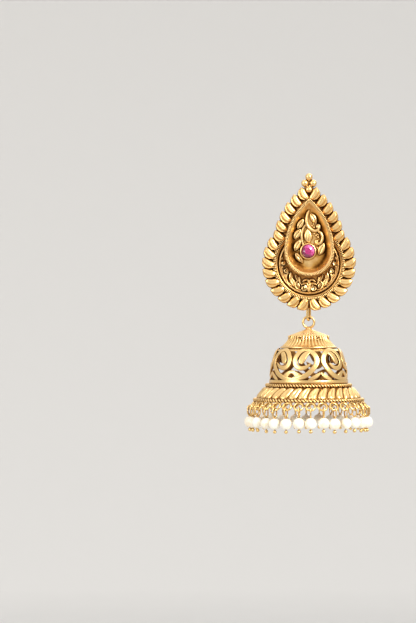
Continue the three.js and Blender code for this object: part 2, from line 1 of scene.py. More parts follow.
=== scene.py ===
# %% [markdown]
# # A jhumka earring in antique gold plate
# The real earring is cast brass, plated with gold and then darkened in its hollows. A teardrop stud
# carries a small pierced bell on a wire link, and thirty imitation pearls hang round the bell's
# foot. Each cell below makes one piece or one finish. The mesh is written point by point, because
# ribs, twisted wire and leaves repeat by simple rules, and a rule is quicker to adjust than a
# sculpt.

import random
from math import acos, atan2, cos, degrees, exp, pi, radians, sin, sqrt, tau

import bpy
import bmesh
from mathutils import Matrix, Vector


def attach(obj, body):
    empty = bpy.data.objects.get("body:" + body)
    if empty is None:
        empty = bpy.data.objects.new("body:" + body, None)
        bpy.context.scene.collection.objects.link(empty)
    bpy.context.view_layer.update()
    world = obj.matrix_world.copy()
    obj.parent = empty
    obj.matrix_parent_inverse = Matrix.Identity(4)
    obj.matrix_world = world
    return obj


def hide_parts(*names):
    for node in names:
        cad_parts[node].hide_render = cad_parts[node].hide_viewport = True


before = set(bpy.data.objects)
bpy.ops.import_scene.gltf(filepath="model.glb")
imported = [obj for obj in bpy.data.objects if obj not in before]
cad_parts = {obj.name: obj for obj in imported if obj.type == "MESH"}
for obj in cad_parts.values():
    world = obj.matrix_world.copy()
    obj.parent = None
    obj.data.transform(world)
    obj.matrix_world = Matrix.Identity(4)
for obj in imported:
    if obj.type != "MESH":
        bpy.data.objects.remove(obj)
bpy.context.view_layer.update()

# %% [markdown]
# Jewellery is measured in millimetres and Blender works in metres, so all sizes here are in
# millimetres and are scaled once, when a mesh is made. The stud's face looks along -Y.

# %% Main sizes of the earring, in millimetres
METRES = 0.001
# FACE is square to the stud's face and points into it
ACROSS, FACE, UP = Vector((1, 0, 0)), Vector((0, 1, 0)), Vector((0, 0, 1))
PLATE_FRONT = -0.9
CUP_CENTRE_Z, CUP_RADIUS, CUP_PEAK = -3.8, 6.1, 13.0
CUP_FLOOR = -1.6
ROSETTE_Z = -6.9
BELL_AXIS_Y = 1.6
DROPS = 30
SIDE_ARC = (CUP_PEAK ** 2 + CUP_RADIUS ** 2) / (2 * CUP_RADIUS)
SIDE_ARC_CENTRE = SIDE_ARC - CUP_RADIUS
chance = random.Random(11)
print(f"the teardrop's sides are arcs of {SIDE_ARC:.1f} mm")

# %% [markdown]
# A jeweller carves a pattern in wax before it is cast. The class below plays that part: it gathers
# points and faces, and `cast` turns them into one mesh on one body. Each point also remembers how
# dark it is, from 0 for polished to 1 for black. Mostly that is tarnish, darker where a polishing
# cloth never reaches, but inside the cup and on the band's upper rail it is also painted shade.

# %% Wax, and casting it
class Wax:
    def __init__(self):
        self.points, self.faces, self.tarnish_and_shade = [], [], []

    def add(self, points, faces, tarnish_and_shade=0.0):
        start = len(self.points)
        self.points += points
        self.faces += [tuple(start + corner for corner in face) for face in faces]
        self.tarnish_and_shade += tarnish_and_shade if isinstance(tarnish_and_shade, list) else [tarnish_and_shade] * len(points)

    def skin(self, rings, closed=False, tarnish_and_shade=0.0, ends=None):
        """A closed body through rings of points, capped at its ends or run round into itself.
        The darkness (tarnish, and in places painted shade) is one value, or a list for the rings or
        for the points. ends is for the caps."""
        count, spans = len(rings[0]), len(rings) if closed else len(rings) - 1
        points = [point for ring in rings for point in ring]
        faces = []
        for i in range(spans):
            here, there = i * count, (i + 1) % len(rings) * count
            faces += [(here + j, there + j, there + (j + 1) % count, here + (j + 1) % count)
                      for j in range(count)]
        shade = tarnish_and_shade
        if isinstance(tarnish_and_shade, list):
            each = 1 if len(tarnish_and_shade) == len(points) else count
            shade = [value for value in tarnish_and_shade for _ in range(each)]
        if not closed:
            for first in (0, (len(rings) - 1) * count):
                points.append(sum(points[first:first + count], Vector()) / count)
                faces += [(first + j, first + (j + 1) % count, len(points) - 1)
                          for j in range(count)]
                if isinstance(shade, list):
                    shade.append(shade[first] if ends is None else ends)
        self.add(points, faces, shade)


def add_object(name, data):
    added = bpy.data.objects.new(name, data)
    bpy.context.scene.collection.objects.link(added)
    return added


def cast(name, wax, body, finish, nodes=(), crease=50):
    mesh = bpy.data.meshes.new(name)
    mesh.from_pydata([tuple(point * METRES) for point in wax.points], [], wax.faces)
    shape = bmesh.new()
    shape.from_mesh(mesh)
    bmesh.ops.recalc_face_normals(shape, faces=shape.faces)
    shape.to_mesh(mesh)
    shape.free()
    # Each point's darkness goes on the mesh: tarnish, and painted shade inside the cup and on the
    # band's upper rail
    mesh.attributes.new("tarnish_and_shade", "FLOAT", "POINT").data.foreach_set("value", wax.tarnish_and_shade)
    mesh.shade_smooth()
    mesh.set_sharp_from_angle(angle=radians(crease))
    mesh.materials.append(finish)
    piece = add_object(name, mesh)
    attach(piece, body)
    if nodes:
        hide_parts(*nodes)
    print(f"{name}: {len(mesh.polygons)} faces on {body}")
    return piece

# %% [markdown]
# Most of the ornament is wire: rings, scrolls, twisted rope, the milled edge. One helper sweeps a
# round section along a path, and lets the radius change on the way, which gives tapering scrolls
# and ribbed edges from the same few lines.

# %% Wire along a path, balls and turned forms
def wire(wax, path, radius, flat, sides=8, closed=False, squash=1.0, lobes=None, stain=None):
    """Sweeps a section along the path. flat is square to the path's plane. lobes and stain give
    the section's reach and tarnish from the step along the path and the turn round the section."""
    rings, shade = [], []
    last = len(path) - 1
    for i, centre in enumerate(path):
        ahead = path[(i + 1) % len(path)] if closed else path[min(i + 1, last)]
        behind = path[i - 1] if closed or i else path[0]
        side = (ahead - behind).cross(flat).normalized()
        thick = radius[i] if isinstance(radius, list) else radius
        ring = []
        for j in range(sides):
            turn = tau * j / sides
            reach = thick * (lobes(i, turn) if lobes else 1)
            ring.append(centre + side * reach * cos(turn) + flat * reach * squash * sin(turn))
            shade.append(stain(i, turn) if stain else 0.0)
        rings.append(ring)
    wax.skin(rings, closed, shade)


def smooth(rows, steps):
    """A Catmull-Rom curve through rows of numbers, with a number of steps to each span."""
    made = []
    for i in range(len(rows) - 1):
        a, b, c, d = rows[max(i - 1, 0)], rows[i], rows[i + 1], rows[min(i + 2, len(rows) - 1)]
        for k in range(steps):
            t = k / steps
            made.append(tuple(
                0.5 * (2 * q + (r - p) * t + (2 * p - 5 * q + 4 * r - s) * t ** 2
                       + (3 * q - p - 3 * r + s) * t ** 3)
                for p, q, r, s in zip(a, b, c, d)))
    return made + [tuple(rows[-1])]


def circle(centre, first, second, radius, count, start=0.0):
    """Places round a circle, from the direction first towards the direction second."""
    turns = [tau * (k + start) / count for k in range(count)]
    return [centre + (first * cos(t) + second * sin(t)) * radius for t in turns]


def ball(wax, centre, radius, tarnish_and_shade=0.0, stretch=1.0, around=8, rows=6, axis=FACE):
    """A drop of solder, drawn as a ball that may be longer or shorter along its own axis."""
    second = UP if axis == FACE else FACE
    wax.skin([circle(centre - axis * cos(tip) * stretch * radius, ACROSS, second,
                     sin(tip) * radius, around)
              for tip in (pi * i / rows for i in range(1, rows))], tarnish_and_shade=tarnish_and_shade)


def on_bell(radius, angle, z):
    """A place round the bell's axis. The angle is in degrees from the front."""
    a = radians(angle)
    return Vector((radius * sin(a), BELL_AXIS_Y - radius * cos(a), z))


def bell_directions(angle):
    """Outward from the bell, and along its edge."""
    a = radians(angle)
    return Vector((sin(a), -cos(a), 0)), Vector((cos(a), sin(a), 0))


def turned(wax, profile, sides, ribs=None, stain=None):
    """Spins a closed profile of (radius, z) about the bell's axis, as on a lathe. ribs and stain
    give a change of radius and the darkness from the angle and the place in the profile: tarnish,
    and painted shade on the band's upper rail."""
    rings, shade = [], []
    for j in range(sides):
        angle = 360 * j / sides
        rings.append([on_bell(r + (ribs(angle, i) if ribs else 0), angle, z)
                      for i, (r, z) in enumerate(profile)])
        shade += [stain(angle, i) if stain else 0.0 for i in range(len(profile))]
    wax.skin(rings, closed=True, tarnish_and_shade=shade)


def teardrop(offset, share):
    """Across and up on the cup's outline: 0 is its foot, 1 its apex and 2 the foot again."""
    half = share if share <= 1 else 2 - share
    low, tall = CUP_RADIUS + offset, SIDE_ARC + offset
    peak = acos(SIDE_ARC_CENTRE / tall)
    run = half * (pi / 2 * low + peak * tall)
    if run < pi / 2 * low:
        across, up = low * sin(run / low), -low * cos(run / low)
    else:
        bend = (run - pi / 2 * low) / tall
        across, up = tall * cos(bend) - SIDE_ARC_CENTRE, tall * sin(bend)
    return (across if share <= 1 else -across), CUP_CENTRE_Z + up


def cup_ring(offset, depth, count=180):
    return [Vector((x, depth, z))
            for x, z in (teardrop(offset, 2 * i / count) for i in range(count))]

# %% [markdown]
# A finish in Blender is a small graph. This helper adds one node, sets what it is given and links
# what it is handed, so that each finish reads from top to bottom like a recipe.

# %% Adding a node, and colours from hex
def add_node(finish, kind, inputs=None, stops=(), **settings):
    """Sets or links the inputs. A node stands for its first output. stops are for a colour ramp."""
    node = finish.node_tree.nodes.new("ShaderNode" + kind)
    for name, value in settings.items():
        setattr(node, name, value)
    for name, value in (inputs or {}).items():
        if isinstance(value, bpy.types.Node):
            value = value.outputs[0]
        if isinstance(value, bpy.types.NodeSocket):
            finish.node_tree.links.new(value, node.inputs[name])
        else:
            node.inputs[name].default_value = value
    for _ in stops[2:]:
        node.color_ramp.elements.new(0.5)
    for i, (place, hex_code) in enumerate(stops):
        stop = node.color_ramp.elements[i]
        stop.position, stop.color = place, colour(hex_code)
    return node


def colour(hex_code):
    """sRGB hex to the linear colour that the shader works in."""
    parts = [int(hex_code[i:i + 2], 16) / 255 for i in (1, 3, 5)]
    return [c / 12.92 if c <= 0.04045 else ((c + 0.055) / 1.055) ** 2.4 for c in parts] + [1.0]


def start_finish(name):
    """An empty finish, and the place on a piece, in metres, that its patterns follow."""
    finish = bpy.data.materials.new(name)
    finish.use_nodes = True
    finish.node_tree.nodes.clear()
    return finish, add_node(finish, "TexCoord").outputs["Object"]


def noise(finish, place, width, detail=2.0):
    """Clouds of a width in mm."""
    return add_node(finish, "TexNoise",
                    {"Vector": place, "Scale": 1 / (width * METRES), "Detail": detail})

# %% [markdown]
# Antique gold plate is brass under a thin layer of gold, dipped in a brown-black wash and then
# rubbed. The wash stays in hollows and comes off the high places. Blender's ambient occlusion node
# finds the hollows, and the darkness that the wax remembers, tarnish and in a few places painted
# shade, is taken off that. A colour ramp then goes from the wash to polished gold, and the same
# number makes hollows duller than high places.

# %% Antique gold plate on cast brass
def antique_gold(name, ramp, reach, dull, polished):
    """ramp: openness and colour, from wash to gold. reach: the width of a dark hollow, in mm."""
    finish, place = start_finish(name)
    hollow = add_node(finish, "AmbientOcclusion", {"Distance": reach * METRES}, samples=8)
    # The darkness each point remembers: tarnish, and painted shade in a few places
    stain = add_node(finish, "Attribute", attribute_name="tarnish_and_shade")
    # Rubbing is uneven: patches of about 1.2 mm
    patches = noise(finish, place, 1.2, 3.0)
    uneven = add_node(finish, "MapRange", {"Value": patches, "From Min": 0.3, "From Max": 0.7,
                                           "To Min": -0.08, "To Max": 0.1})
    cleaned = add_node(finish, "Math", {0: hollow.outputs["AO"], 1: stain.outputs["Fac"]},
                       operation="SUBTRACT")
    openness = add_node(finish, "Math", {0: cleaned, 1: uneven}, operation="ADD", use_clamp=True)
    shades = add_node(finish, "ValToRGB", {"Fac": openness}, stops=ramp)
    shine = add_node(finish, "MapRange", {"Value": openness, "From Min": 0.2, "From Max": 0.9,
                                          "To Min": dull, "To Max": polished})
    # The skin of a casting: grain of about 0.12 mm, and soft dents of about 0.6 mm from rubbing
    grain = noise(finish, place, 0.12)
    dents = noise(finish, place, 0.6, 1.0)
    soft = add_node(finish, "Bump", {"Height": dents, "Strength": 0.12, "Distance": 0.12 * METRES})
    skin = add_node(finish, "Bump", {"Height": grain, "Normal": soft, "Strength": 0.25,
                                     "Distance": 0.02 * METRES})
    metal = add_node(finish, "BsdfPrincipled", {"Base Color": shades, "Roughness": shine,
                                                "Normal": skin, "Metallic": 1.0})
    add_node(finish, "OutputMaterial", {"Surface": metal})
    print(f"{name}: wash in hollows of {reach} mm, roughness {polished} to {dull}")
    return finish


gold_plate = antique_gold(
    "antique_gold_plate_on_cast_brass", reach=0.45, dull=0.5, polished=0.31,
    ramp=[(0.16, "#3A1E08"), (0.36, "#8E5E2C"), (0.56, "#D2A25E"), (0.84, "#F3CC8A")])
# A darker copy of the plate's finish for the cup: its deeper browns are painted shade inside the
# cup
shaded_cup_gold = antique_gold(
    "antique_gold_plate_with_painted_shade_in_the_cup", reach=0.4, dull=0.5, polished=0.31,
    ramp=[(0.11, "#281204"), (0.3, "#744818"), (0.53, "#C8944C"), (0.82, "#F3CE8E")])
wire_gold = antique_gold(
    "gold_plate_on_drawn_wire", reach=0.35, dull=0.42, polished=0.25,
    ramp=[(0.08, "#5A300C"), (0.3, "#AC7530"), (0.55, "#DDAE62"), (0.85, "#F3CD88")])

# %% [markdown]
# The pearls are imitation: a glass or plastic bead under coats of pearl essence. The essence gives
# a soft bright skin rather than a mirror, so the finish is a smooth white body with a little light
# passing through it, under a clear coat.

# %% Pearl essence on a bead
def pearl_coat():
    finish, place = start_finish("pearl_essence_on_bead")
    # Clouds in the coating, about 2 mm wide
    clouds = noise(finish, place, 2)
    tint = add_node(finish, "ValToRGB", {"Fac": clouds},
                    stops=[(0.35, "#F4E4C8"), (0.65, "#FDF7EA")])
    skin = add_node(finish, "MapRange", {"Value": clouds, "To Min": 0.28, "To Max": 0.36})
    ripple = add_node(finish, "Bump", {"Height": clouds, "Strength": 0.1, "Distance": 0.1 * METRES})
    bead = add_node(finish, "BsdfPrincipled",
                    {"Base Color": tint, "Roughness": skin, "Normal": ripple, "IOR": 1.53,
                     "Subsurface Weight": 0.25, "Subsurface Radius": (0.9, 0.8, 0.65),
                     "Subsurface Scale": 0.6 * METRES, "Coat Weight": 0.6,
                     "Coat Roughness": 0.06})
    add_node(finish, "OutputMaterial", {"Surface": bead})
    print("pearl essence: cream to white, clear coat 0.6")
    return finish


pearl_essence = pearl_coat()

# %% [markdown]
# The stone is red glass, cut like a gem and set on bright foil. Light that goes in comes straight
# back out through the colour, so the glass reads as a strong pink body with a little clearness in
# it and a polished face. Facets that face up and to the right get a painted highlight, and the rest
# painted shade.

# %% Foil-backed ruby glass
def ruby_glass():
    finish, place = start_finish("foil_backed_ruby_glass")
    # Painted highlight and shade: a facet is paler pink the more it faces up and to the right,
    # where the key lamp is, and deeper red the more it faces away, with flaws about 0.5 mm wide in
    # it
    facing = add_node(finish, "NewGeometry")
    toward = add_node(finish, "VectorMath",
                      {0: facing.outputs["Normal"], 1: (0.75, -0.1, 0.65)}, operation="DOT_PRODUCT")
    flaws = add_node(finish, "TexVoronoi", {"Vector": place, "Scale": 1 / (0.5 * METRES)})
    painted_facet_light = add_node(finish, "Math", {0: flaws, 1: 0.3, 2: toward.outputs["Value"]},
                     operation="MULTIPLY_ADD")
    # From painted shade to painted highlight
    pink = add_node(finish, "ValToRGB", {"Fac": painted_facet_light},
                    stops=[(0.0, "#820A48"), (0.33, "#C21C78"), (0.8, "#FB7CC6")])
    polish = add_node(finish, "MapRange", {"Value": flaws, "To Min": 0.02, "To Max": 0.08})
    glass = add_node(finish, "BsdfPrincipled",
                     {"Base Color": pink, "Roughness": polish, "IOR": 1.7,
                      "Transmission Weight": 0.25, "Coat Weight": 0.5, "Coat Roughness": 0.02})
    add_node(finish, "OutputMaterial", {"Surface": glass})
    print("ruby glass: pink foil, flaws 0.5 mm wide")
    return finish


ruby = ruby_glass()

# %% [markdown]
# The stud's petals and leaves are small bosses: an outline with a domed top, cast in one with the
# plate. One function makes them all. It walks along the boss, and at each station lays a
# cross-section: a dome with a groove in it, closed by a narrower foot inside the plate.

# %% A boss on the face of the stud
FOOT_SHARE, FOOT_DEPTH, FOOT_DARK = 0.9, 0.3, 0.5


def boss(wax, centre, angle, length, width, height, outline, base, bend=0.0, hand=1,
         grooves=(), rows=14, columns=17, edge=0.42, flat_top=2.2):
    """base is the depth it stands on, and bend is how far its ends bow to one side, in mm. A groove
    is its place across, its depth and its width, as shares. A small edge keeps the ends high, and a
    large flat_top makes the dome flat with steep sides."""
    along = Vector((cos(radians(angle)), 0, sin(radians(angle))))
    side = Vector((-along.z, 0, along.x))
    rings, shade = [], []
    for i in range(rows + 1):
        t = 0.5 - 0.5 * cos(pi * (0.02 + 0.96 * i / rows))
        half = outline(t) * width / 2
        spine = centre + along * (t - 0.5) * length + side * hand * bend * 4 * (t - 0.5) ** 2
        groove_fade = min(1, max(0, 3 * outline(t) - 0.6))
        ring = []
        for j in range(columns):
            s = -cos(pi * j / (columns - 1))
            lift = max(0.0, 1 - abs(s) ** flat_top) ** 0.55 * outline(t) ** edge
            for place, depth, wide in grooves:
                lift *= 1 - depth * groove_fade * exp(-((s * hand - place) / wide) ** 2)
            ring.append(spine + side * s * half + FACE * (base - height * lift))
            shade.append(0.85 * (1 - lift) ** 1.7)
        for s in (1, -1):
            ring.append(spine + side * s * half * FOOT_SHARE + FACE * (base + FOOT_DEPTH))
            shade.append(FOOT_DARK)
        rings.append(ring)
    wax.skin(rings, tarnish_and_shade=shade, ends=0.0)


def comma_outline(t, widest=0.42):
    """Half-width of a comma petal: a round head at 0 and a blunt point at 1."""
    if t < widest:
        return sqrt(max(0, 1 - (1 - t / widest) ** 2))
    return max(0, 1 - ((t - widest) / (1 - widest)) ** 3.4)


def almond_outline(t):
    """Half-width of an almond leaf: pointed at both ends and widest a little past the middle."""
    return max(0, sin(pi * t ** 0.88)) ** 0.75

# %% [markdown]
# Behind everything on the stud is a flat plate, a round rosette with a teardrop crown. Its outline
# is the further of the two curves in each direction from a point that both hold.

# %% Plate of the stud
PLATE_RADIUS, CROWN_OFFSET = 10.9, 2.45


def plate_outline(margin, count=220):
    hub = Vector((0, 0, -5))
    radius = PLATE_RADIUS + margin
    crown = [point - hub for point in cup_ring(CROWN_OFFSET + margin, 0, 400)]
    crown_angles = sorted((atan2(p.x, -p.z) % tau, p.length) for p in crown)
    gap = Vector((0, 0, ROSETTE_Z)) - hub
    outline = []
    for i in range(count):
        a = tau * i / count
        toward = Vector((sin(a), 0, -cos(a)))
        inward = gap.dot(toward)
        reach = inward + sqrt(inward ** 2 - gap.length_squared + radius ** 2)
        nearest = min(crown_angles, key=lambda entry: abs(entry[0] - a))
        outline.append(hub + toward * max(reach, nearest[1]))
    return outline


stud = Wax()
# Margin, depth and tarnish, from the back to the front
plate_levels = [
    (-1, 0, 0.2), (-0.25, 0, 0.1), (0, -0.2, 0.1), (0, -0.7, 0.4), (-0.2, PLATE_FRONT, 0.6),
    (-0.9, PLATE_FRONT, 0.6)]
stud.skin([[p + FACE * depth for p in plate_outline(margin)] for margin, depth, _ in plate_levels],
          tarnish_and_shade=[dark for _, _, dark in plate_levels])
print("plate of the stud:", len(stud.points), "points")

# %% [markdown]
# Round the rosette run a smooth wire, a dark groove, a plain cove and a milled edge, all turned
# about the rosette's centre. The milled edge is a wire whose radius swells once for each bead. The
# beads are about 0.4 mm apart.

# %% Rings of the rosette
BEAD_STEPS, RING_BEADS = 8, 126


def on_rosette(radius, turn, depth):
    """A place round the rosette's centre. The turn is in degrees from the foot."""
    a = radians(turn)
    return Vector((radius * sin(a), depth, ROSETTE_Z - radius * cos(a)))


def rosette_ring(radius, depth, count):
    return circle(Vector((0, depth, ROSETTE_Z)), -UP, ACROSS, radius, count)


def notch(i):
    """1 in the notch between two beads of a milled wire, and 0 on a bead's back."""
    return (0.5 + 0.5 * cos(tau * i / BEAD_STEPS)) ** 2


def milled_wire(wax, path, radius, squash, dark):
    wire(wax, path, radius, FACE, closed=True, squash=squash,
         lobes=lambda i, turn: 1 - 0.42 * notch(i), stain=lambda i, turn: dark * notch(i))


# Radius, depth and tarnish
cove = [
    (6.9, -0.85, 0.8), (6.95, -0.93, 0.5), (7.35, -0.93, 0.8), (7.5, -0.93, 0.85),
    (7.68, -0.94, 0.8), (7.8, -1.06, 0.45), (7.95, -1.1, 0.3), (8.16, -1.14, 0.25),
    (8.8, -1.18, 0.5), (8.95, -1, 0.7), (8.95, -0.5, 0.6), (6.9, -0.5, 0.6)]
COVE_SIDES = 144
stud.skin(list(zip(*(rosette_ring(radius, depth, COVE_SIDES) for radius, depth, _ in cove))),
          closed=True, tarnish_and_shade=[dark for _, _, dark in cove] * COVE_SIDES)
wire(stud, rosette_ring(7.12, -1.02, 120), 0.27, FACE, closed=True, squash=1.4)
milled_wire(stud, rosette_ring(8.45, -1.16, RING_BEADS * BEAD_STEPS), 0.44, squash=0.75, dark=0.85)
print("rings of the rosette:", RING_BEADS, "milled beads")

# %% [markdown]
# Thirty comma petals stand round the stud with their heads inward and their points swept upward.
# They follow two rules: equal steps round the rosette, then equal steps beside the cup. Each has a
# deep groove and a faint one along it, and a grain of metal sits in the notch between two heads.

# %% Petals and grains
PETAL_RING, PETAL_TURN, PETAL_SWEEP = 10.2, 13.82, 32
GRAIN_RING = 9.05
BESIDE_CUP, STEP_BESIDE_CUP = SIDE_ARC + 1.75, 2.42


def petal_places():
    """Centre, the way outward in degrees and the sweep, for one side of the stud."""
    places = []
    for i in range(9):
        turn = PETAL_TURN * (i + 0.53)
        places.append((on_rosette(PETAL_RING, turn, 0), turn - 90, PETAL_SWEEP))
    for i in range(6):
        a = radians(11) + STEP_BESIDE_CUP * i / BESIDE_CUP
        centre = Vector((BESIDE_CUP * cos(a) - SIDE_ARC_CENTRE, 0,
                         CUP_CENTRE_Z + BESIDE_CUP * sin(a)))
        places.append((centre, degrees(a), PETAL_SWEEP * (0.95 - 0.1 * i)))
    return places


for hand in (1, -1):
    for centre, outward, sweep in petal_places():
        lean = outward + sweep
        boss(stud, Vector((hand * centre.x, 0, centre.z)), lean if hand > 0 else 180 - lean,
             length=3.5, width=2.4, height=1.0, outline=comma_outline, base=PLATE_FRONT, bend=0.62,
             hand=hand, grooves=((-0.45, 0.42, 0.13), (0.25, 0.14, 0.13)))
    for i in range(10):
        ball(stud, on_rosette(GRAIN_RING, hand * (PETAL_TURN * (i + 0.02) + 2), -1.15), 0.27)
print("petals:", 2 * len(petal_places()))

# %% [markdown]
# The crescent between the cup and the wire ring holds scrollwork that mirrors left to right: a
# palmette at the foot, a spiral either side of it, leaves, and curls at the ends.

# %% Scrollwork of the crescent
CRESCENT_RADIUS = 7.2


def on_crescent(turn, out, depth=-0.98):
    return on_rosette(CRESCENT_RADIUS * out, turn, depth)


# Degrees from the foot, share of the radius, and thickness before it is scaled
CRESCENT_LINES = [
    [(1.5, 0.93, 0.2), (1.5, 0.82, 0.17), (3, 0.72, 0.18), (7, 0.66, 0.18), (14, 0.68, 0.16),
     (20, 0.74, 0.13)],
    [(1, 0.66, 0.16), (3, 0.56, 0.16), (9, 0.53, 0.17), (15, 0.56, 0.17), (19, 0.63, 0.12)],
    [(17, 0.92, 0.12), (24, 0.93, 0.16), (30, 0.9, 0.2), (34, 0.83, 0.2), (35, 0.74, 0.17),
     (33, 0.66, 0.14)],
    [(22, 0.72, 0.12), (27, 0.7, 0.17), (31, 0.62, 0.17), (36, 0.57, 0.15)],
    [(39, 0.93, 0.13), (47, 0.95, 0.15), (56, 0.93, 0.17), (63, 0.86, 0.18), (67, 0.77, 0.14)],
    [(60, 0.95, 0.13), (70, 0.95, 0.17), (79, 0.94, 0.17), (86, 0.95, 0.13)],
    [(88, 0.95, 0.13), (97, 0.96, 0.15), (104, 0.94, 0.11)],
]
LINE_SCALE = 1.5
# Degrees from the foot, share of the radius, size in mm, start in degrees, turns
CRESCENT_SPIRALS = [
    (12, 0.84, 0.72, 95, 1.35), (74, 0.82, 0.56, 20, 1.3), (92, 0.875, 0.46, 20, 1.2)]
# Degrees from the foot, share of the radius, length, width, tilt
CRESCENT_LEAVES = [
    (0, 0.8, 2.5, 1.15, 0), (27, 0.8, 1.7, 0.8, 40), (44, 0.82, 2.7, 1.25, 26),
    (55, 0.75, 2.4, 1.05, 34), (42, 0.62, 2, 0.8, 20), (64, 0.9, 1.5, 0.6, 14),
    (83, 0.9, 1.2, 0.5, 10), (102, 0.93, 1.1, 0.4, 8)]
for hand in (1, -1):
    for line in CRESCENT_LINES:
        rows = smooth(line, 6)
        last = len(rows) - 1
        rounded = [max(0.06, 1 - abs(2 * k / last - 1) ** 9) ** 0.5 for k in range(last + 1)]
        wire(stud, [on_crescent(hand * turn, out) for turn, out, _ in rows],
             [LINE_SCALE * thick * end for (_, _, thick), end in zip(rows, rounded)], FACE,
             squash=1.3)
        turn, out, thick = line[-1]
        ball(stud, on_crescent(hand * turn, out, -1.02), thick * LINE_SCALE)
    for turn, out, size, start, turns in CRESCENT_SPIRALS:
        middle = on_crescent(hand * turn, out)
        path, thick = [], []
        for k in range(31):
            share = k / 30
            a = radians(start + turn + 360 * turns * share)
            reach = size * (1 - 0.72 * share)
            path.append(middle + Vector((hand * reach * cos(a), 0, reach * sin(a))))
            thick.append(0.23 - 0.05 * share)
        wire(stud, path, thick, FACE, sides=7, squash=1.6)
        ball(stud, path[-1] - FACE * 0.05, 0.2)
    for turn, out, length, width, tilt in CRESCENT_LEAVES:
        if turn or hand > 0:
            lean = 90 if not turn else (turn + tilt if hand > 0 else 180 - turn - tilt)
            boss(stud, on_crescent(hand * turn, out, 0), lean, length, width, 0.36, almond_outline,
                 -0.92, grooves=((0, 0.45, 0.2),), rows=10, columns=11, edge=0.3, flat_top=3.0)
print("crescent:", len(CRESCENT_LINES), "lines a side")

# %% [markdown]
# Four beads crown the stud, soldered in a diamond, and the half ring that carries the link is
# soldered behind its foot. Both stay in the same casting as the plate.

# %% Crown beads and the eye behind
low_bead = teardrop(CROWN_OFFSET, 1)[1] - 0.93
for across, lift in ((0, 0), (-1.01, 1.548), (1.01, 1.548), (0, 3.096)):
    ball(stud, Vector((across, -0.81, low_bead + lift)), 0.9, around=24, rows=16)
tab = [(0, -1.8), (1.1, 0.3), (1.35, 1.55), (0, 3.6), (-1.35, 1.55), (-1.1, 0.3)]
stud.skin([[Vector((x * grow, depth, low_bead + z)) for x, z in tab]
           for grow, depth in ((0.9, 0.0), (1.0, -0.15), (1.0, -0.6), (0.8, -0.8))], tarnish_and_shade=0.15)
for across, lift in ((0.05, 0.8), (-0.42, 0.76), (0.45, 0.8), (0, 2.28)):
    ball(stud, Vector((across, -1.1, low_bead + lift)), 0.22)
HALF_RING, HALF_RING_Z = 1.6, -17.4
half_ring = [Vector((-HALF_RING * cos(a), HALF_RING * sin(a), HALF_RING_Z))
             for a in (pi * k / 24 for k in range(25))]
# Its two ends reach into the plate
half_ring[0].y = half_ring[-1].y = -0.45
wire(stud, half_ring, 0.28, UP, sides=10)
cast("stud_plate_with_petals", stud, "stud", gold_plate, ["stud_plate"])

# %% [markdown]
# The teardrop cup stands on the plate. It flares out to a milled rim, and a smooth wall runs down
# inside to a flat floor. It is a loft: the same outline again and again, drawn in or out, at one
# depth after another. The wall is bright at the rim and darker on its way down at the two sides:
# wash, and painted shade inside the cup. At the foot and the apex less of it is painted.

# %% Cup
FLOOR_HALF, FLOOR_PEAK = 4.05, 10.2
RIM_BEADS = 130
cup = Wax()
# Offset from the cup's outline, depth and darkness, which is wash and painted shade
cup_levels = [
    (-1.5, -1, 0.7), (-1.42, -1.3, 0.6), (-0.95, -2.1, 0.35), (-0.2, -2.85, 0.1), (-0.05, -3, 0),
    (-0.1, -3.14, 0), (-0.3, -3.18, 0.1), (-0.52, -3.06, 0.25), (-0.58, -3, 0.12),
    (-0.74, -2.92, 0), (-0.92, -2.7, 0.08), (-1.1, -2.42, 0.24), (-1.34, -2.12, 0.44),
    (-1.6, -1.86, 0.68), (-1.86, -1.68, 0.84), (-2.1, -1.61, 0.84), (-2.5, CUP_FLOOR, 0.64),
    (-3.2, CUP_FLOOR, 0.45)]
cup_rings = [cup_ring(offset, depth) for offset, depth, _ in cup_levels]
# Painted shade as well as wash: darker down the wall and at the two sides, lighter at the foot and
# the apex
cup.skin(cup_rings, ends=0.0, tarnish_and_shade=[
    dark * min(1.0, 0.4 + 1.1 * abs(point.x) / FLOOR_HALF)
    for ring, (_, _, dark) in zip(cup_rings, cup_levels) for point in ring])
milled_wire(cup, cup_ring(-0.3, -3.12, RIM_BEADS * BEAD_STEPS), 0.3, squash=0.8, dark=0.75)
print("cup:", RIM_BEADS, "milled beads on the rim")

# %% [markdown]
# A vine grows on the floor of the cup: seven almond leaves, two tapering curls that end in a ball,
# a stem, and grains between them. Places are shares of the floor's half-width and of its height, so
# the vine keeps its shape if the cup grows.

# %% Vine
def on_floor(across, up, depth):
    return Vector((across * FLOOR_HALF, depth, CUP_CENTRE_Z + up * FLOOR_PEAK))


# Across, up, length, width and lean
vine_leaves = [
    (-0.52, 0.66, 0.7, 0.4, 57), (-0.7, 0.42, 0.7, 0.44, 55), (-0.7, 0.15, 0.77, 0.42, 64),
    (-0.6, -0.16, 0.75, 0.38, -52), (0.27, 0.79, 0.68, 0.42, -60), (0.75, 0.06, 0.79, 0.46, 66),
    (-0.06, 0.37, 0.88, 0.53, 95)]
for across, up, length, width, lean in vine_leaves:
    boss(cup, on_floor(across, up, 0), lean, length * FLOOR_HALF, width * FLOOR_HALF, 0.68,
         almond_outline, CUP_FLOOR, grooves=((0, 0.28, 0.12),), rows=18, edge=0.3, flat_top=3.5)
